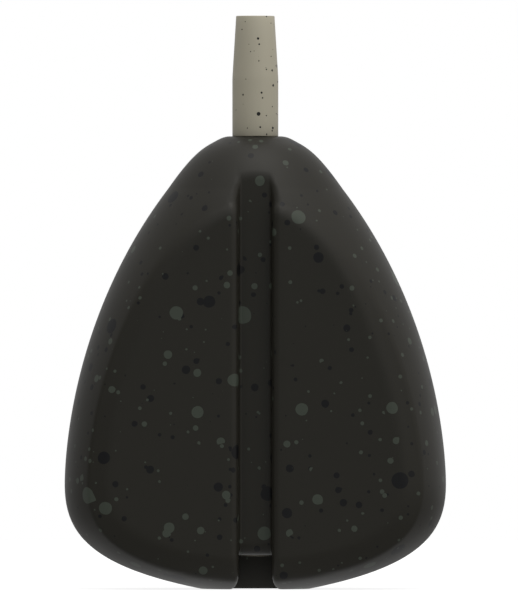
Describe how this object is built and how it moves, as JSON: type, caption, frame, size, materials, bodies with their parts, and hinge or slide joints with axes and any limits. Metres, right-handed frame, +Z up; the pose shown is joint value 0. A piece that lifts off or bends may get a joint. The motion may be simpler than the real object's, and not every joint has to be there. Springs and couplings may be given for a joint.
{
  "type": "inline fishing sinker",
  "caption": "Flat pear fishing sinker: speckled coated lead body with a front groove and swivel pocket, and a push-fit plastic stem bored for the line.",
  "frame": {"origin": "middle of the base flat, on the axis of the line bore", "axes": "+Z up along the line bore towards the stem's tail, -Y out of the front face with the groove, +X to the right seen from the front"},
  "size_m": [0.0328, 0.013, 0.0493],
  "materials": {
    "lead": "dull cast lead",
    "coating": "matt dark coating with grey-green and black speckles",
    "stem": "satin beige plastic with small black specks"
  },
  "bodies": {
    "lead": {"lead_casting": "lead", "speckled_coating": "coating"},
    "stem": {"line_stem": "stem"}
  },
  "joints": [
    {"name": "stem_slide", "type": "slide", "parent": "lead", "child": "stem", "axis": [0, 0, 1], "range_m": [0, 0.034]}
  ]
}
